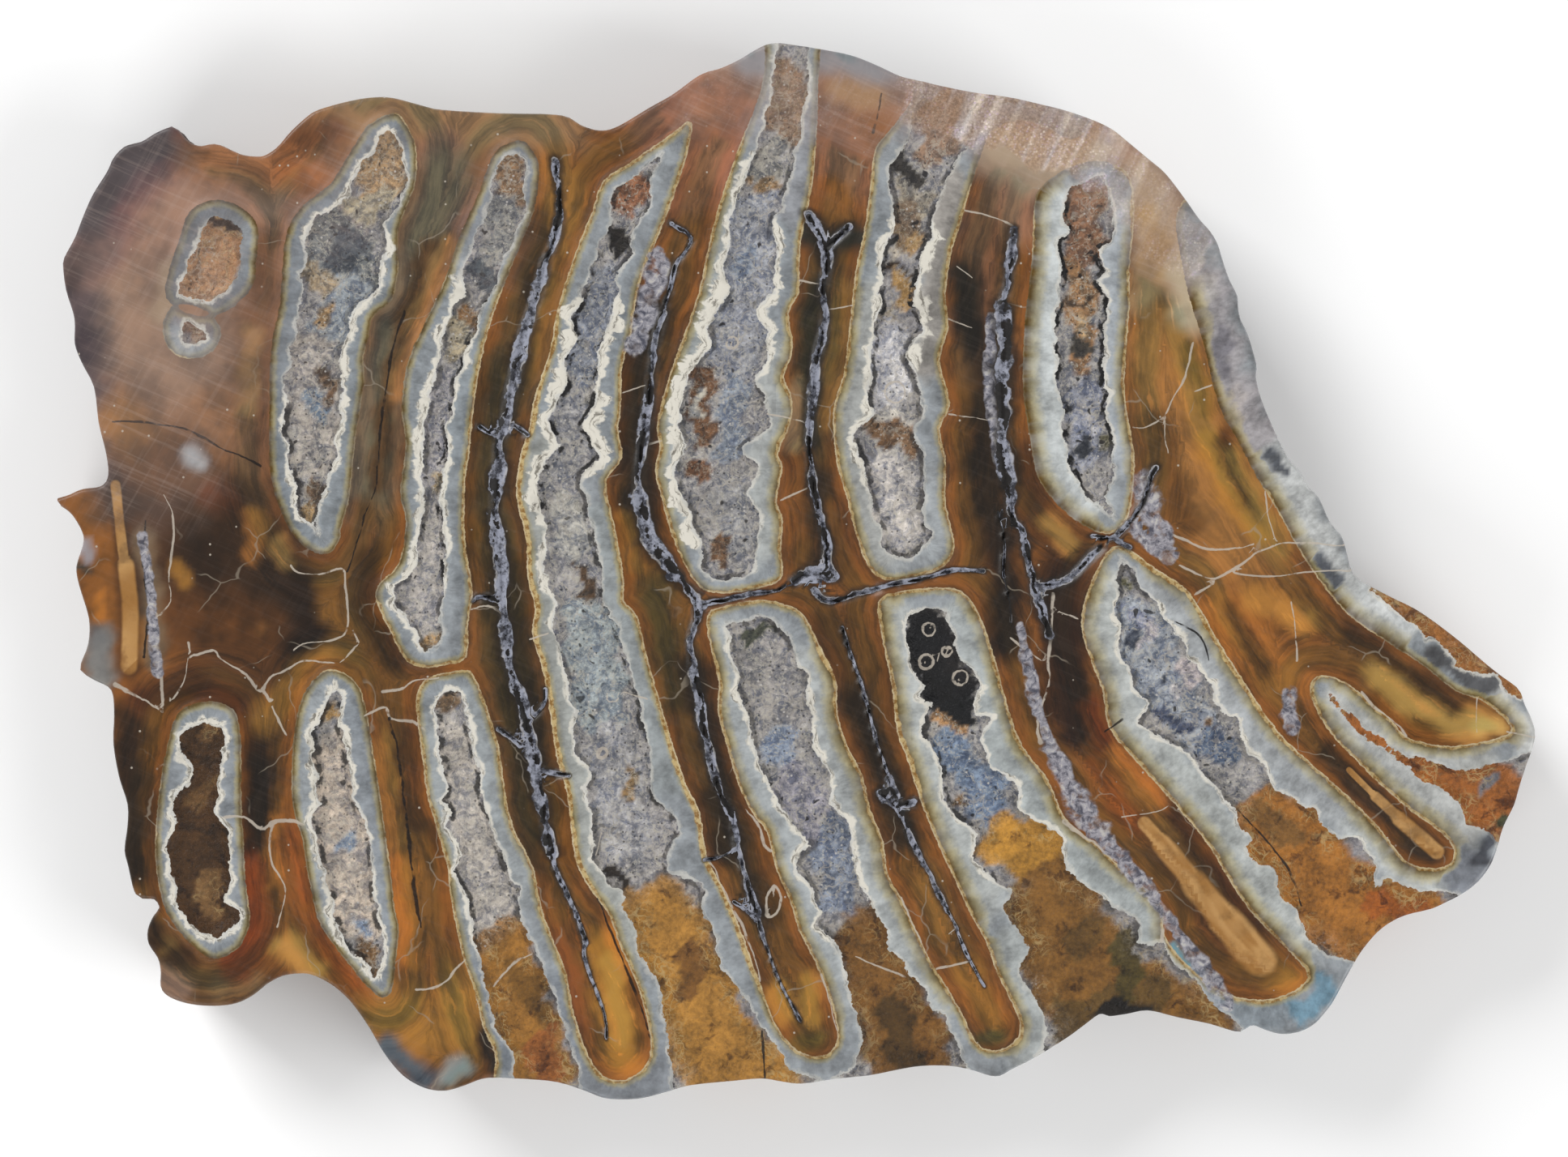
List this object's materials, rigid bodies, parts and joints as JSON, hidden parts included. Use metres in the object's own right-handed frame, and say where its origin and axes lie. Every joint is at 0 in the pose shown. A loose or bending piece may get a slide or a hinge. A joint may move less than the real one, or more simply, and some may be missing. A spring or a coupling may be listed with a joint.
{
  "type": "woolly mammoth tooth slice",
  "caption": "Flat polished slice of a fossil mammoth molar, with folded enamel plates standing side by side and a jagged natural rim.",
  "frame": {"origin": "centre of the bounding box, on the sawn back that the slice rests on", "axes": "+X along the row of plates towards the narrow tip, +Y up the plates as the picture shows them, +Z out of the polished face"},
  "size_m": [0.1, 0.0712, 0.008],
  "materials": {
    "fossil_tooth": "polished fossil tooth: blue-grey and milky enamel bands, amber to black-brown dentine, grey and golden porous cement"
  },
  "bodies": {
    "root": {"tooth_slice": "fossil_tooth"}
  },
  "joints": []
}
